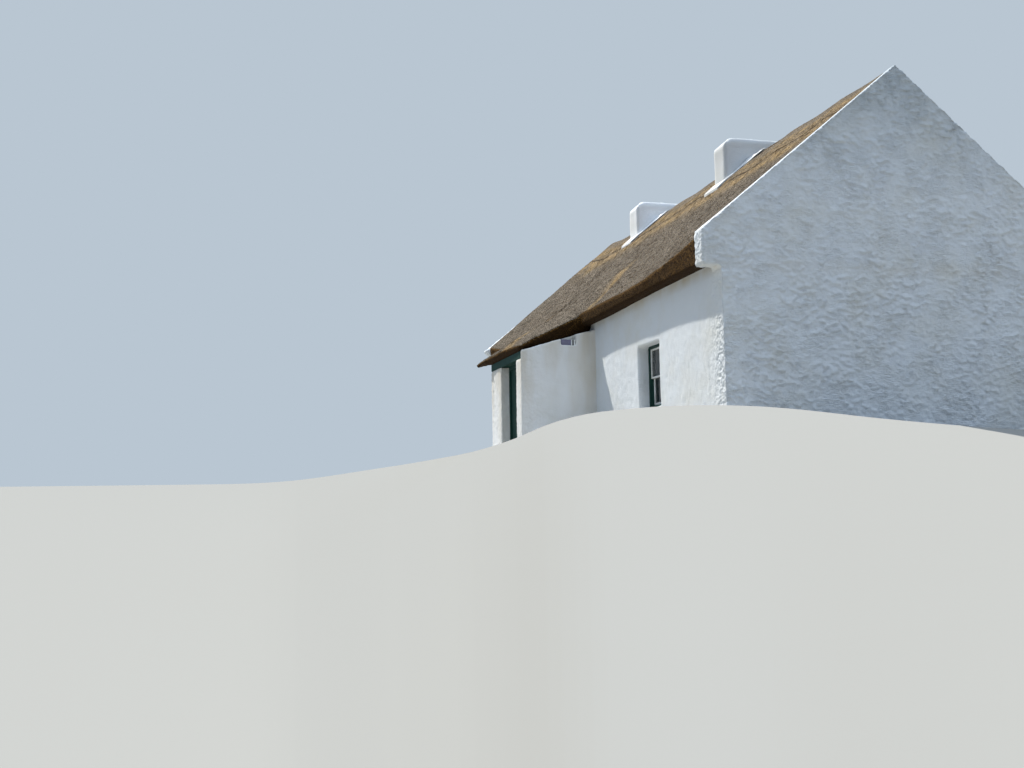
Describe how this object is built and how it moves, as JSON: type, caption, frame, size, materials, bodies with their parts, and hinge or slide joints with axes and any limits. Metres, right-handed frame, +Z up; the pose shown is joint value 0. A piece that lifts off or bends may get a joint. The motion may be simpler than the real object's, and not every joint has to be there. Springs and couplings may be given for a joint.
{
  "type": "thatched cottage",
  "caption": "Single-storey thatched cottage with whitewashed rubble walls, raised gables, a front porch under the thatch, sash windows and two square chimneys.",
  "frame": {"origin": "on the ground, under the middle of the cottage's bounding box", "axes": "+X along the ridge towards the gable that shows, +Y from the porch side to the back, +Z up"},
  "size_m": [12.95, 7.91, 6.13],
  "materials": {
    "limewash": "limewashed lime render over rubble stone",
    "thatch": "weathered straw thatch",
    "green_paint": "green gloss paint on softwood",
    "white_paint": "white gloss paint on softwood",
    "window_glass": "old window glass",
    "old_timber": "sawn and smoked softwood",
    "flagstone": "worn flagstone",
    "black_iron": "black painted wrought iron"
  },
  "bodies": {
    "house": {"gable_wall_near": "limewash", "gable_wall_far": "limewash", "gable_parapet_near": "limewash", "gable_parapet_far": "limewash", "front_wall_near": "limewash", "front_wall_far": "limewash", "front_wall_over_door": "limewash", "back_wall": "limewash", "porch_wall_near": "limewash", "porch_wall_far": "limewash", "porch_pier_near": "limewash", "porch_pier_far": "limewash", "porch_lintel": "green_paint", "porch_door_frame": "green_paint", "porch_door_hinge_lower": "black_iron", "porch_door_hinge_upper": "black_iron", "house_floor": "flagstone", "porch_floor": "flagstone", "thatch_front": "thatch", "thatch_back": "thatch", "roof_couple_1": "old_timber", "roof_couple_2": "old_timber", "roof_couple_3": "old_timber", "roof_couple_4": "old_timber", "chimney_near": "limewash", "chimney_far": "limewash", "chimney_fillet_near": "limewash", "chimney_fillet_far": "limewash", "window_near_frame": "green_paint", "window_near_upper_sash": "white_paint", "window_near_lower_sash": "white_paint", "window_near_upper_glass": "window_glass", "window_near_lower_glass": "window_glass", "window_far_frame": "green_paint", "window_far_upper_sash": "white_paint", "window_far_lower_sash": "white_paint", "window_far_upper_glass": "window_glass", "window_far_lower_glass": "window_glass", "window_back_frame": "green_paint", "window_back_upper_sash": "white_paint", "window_back_lower_sash": "white_paint", "window_back_upper_glass": "window_glass", "window_back_lower_glass": "window_glass"},
    "door_leaf": {"porch_door": "green_paint"}
  },
  "joints": [
    {"name": "porch_door_hinge", "type": "hinge", "parent": "house", "child": "door_leaf", "pos_m": [-0.5207, -3.5525, 0.9], "axis": [0, 0, 1], "range_deg": [0, 88]}
  ]
}
